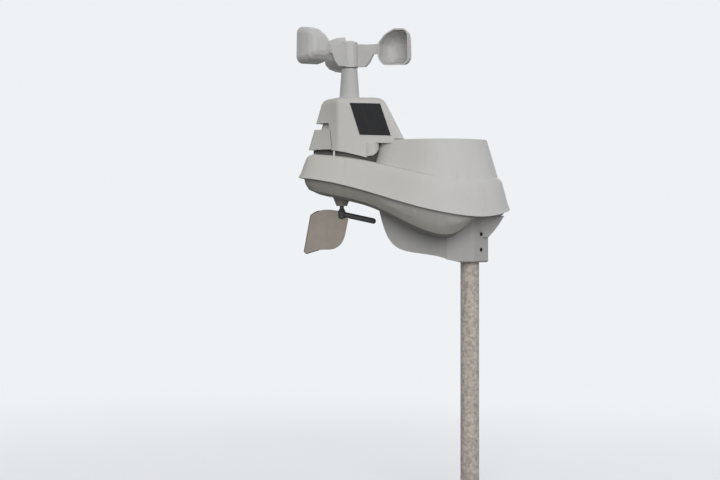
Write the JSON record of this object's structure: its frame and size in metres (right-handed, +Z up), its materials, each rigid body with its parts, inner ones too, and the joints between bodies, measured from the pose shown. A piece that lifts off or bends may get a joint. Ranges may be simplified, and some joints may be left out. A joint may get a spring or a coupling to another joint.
{
  "type": "weather station sensor head on a pole",
  "caption": "Pole-mounted outdoor sensor head with a spinning cup anemometer, a swivelling wind vane, a rain funnel with a tipping bucket and a solar-powered louvred tower.",
  "frame": {"origin": "centre of the pole's foot, where the pole is clamped", "axes": "+Z up along the pole; -X toward the nose that carries the cup rotor and the vane; +Y to the far side of the shown view"},
  "size_m": [0.3027, 0.1739, 0.6754],
  "materials": {
    "shell_plastic": "satin moulded weatherproof plastic, pale grey-white",
    "hull_plastic": "satin moulded plastic, mid grey",
    "post_plastic": "satin moulded plastic, light grey",
    "core_plastic": "matt dark grey plastic",
    "vane_plastic": "matt warm grey plastic",
    "arm_plastic": "matt black plastic",
    "screen_plastic": "matt grey plastic mesh",
    "bucket_plastic": "matt black plastic",
    "switch_plastic": "matt black plastic",
    "fan_plastic": "black plastic",
    "pin_plastic": "pale translucent plastic",
    "solar_glass": "dark cells under clear resin",
    "galvanised_steel": "hot-dip galvanised, dull spangle",
    "screw_steel": "stainless",
    "shaft_steel": "ground stainless",
    "bush_brass": "machined brass",
    "magnet_metal": "nickel plated",
    "shield_metal": "tinned shield can",
    "board": "green circuit board"
  },
  "bodies": {
    "head": {"upper_shell": "shell_plastic", "rain_funnel": "shell_plastic", "tower_cap": "shell_plastic", "tower_skirt_near": "shell_plastic", "tower_skirt_far": "shell_plastic", "tower_louvre": "shell_plastic", "pole": "galvanised_steel", "clamp_screws": "screw_steel", "housing_screws": "screw_steel", "lower_housing": "hull_plastic", "debris_screen": "screen_plastic", "tower_core": "shell_plastic", "solar_panel_near": "solar_glass", "solar_panel_far": "solar_glass", "status_pin": "pin_plastic", "wind_post": "post_plastic", "wind_shaft": "shaft_steel", "wind_washer": "shaft_steel", "vane_bush": "bush_brass", "bucket_cradle": "core_plastic", "reed_switch": "switch_plastic", "circuit_board": "board", "radio_module": "shield_metal", "sensor_socket": "core_plastic", "fan_frame": "core_plastic", "climate_sensor": "board"},
    "wind_rotor": {"wind_hub": "shell_plastic", "hub_cap": "shell_plastic", "wind_cup_1": "shell_plastic", "wind_cup_2": "shell_plastic", "wind_cup_3": "shell_plastic"},
    "vane": {"vane_blade": "vane_plastic", "vane_arm": "arm_plastic", "vane_shaft": "shaft_steel"},
    "bucket": {"tipping_bucket": "bucket_plastic", "bucket_axle": "shaft_steel", "bucket_magnet": "magnet_metal"},
    "fan": {"fan_rotor": "fan_plastic"}
  },
  "joints": [
    {"name": "wind_rotor_spin", "type": "hinge", "parent": "head", "child": "wind_rotor", "pos_m": [-0.172, 0, 0.635], "axis": [0, 0, 1], "continuous": true},
    {"name": "vane_swivel", "type": "hinge", "parent": "head", "child": "vane", "pos_m": [-0.183, 0, 0.435], "axis": [0, 0, 1], "continuous": true},
    {"name": "bucket_tip", "type": "hinge", "parent": "head", "child": "bucket", "pos_m": [-0.05, 0, 0.406], "axis": [0, 1, 0], "range_deg": [-10, 10]},
    {"name": "fan_spin", "type": "hinge", "parent": "head", "child": "fan", "pos_m": [-0.172, 0, 0.524], "axis": [0, 0, 1], "continuous": true}
  ]
}
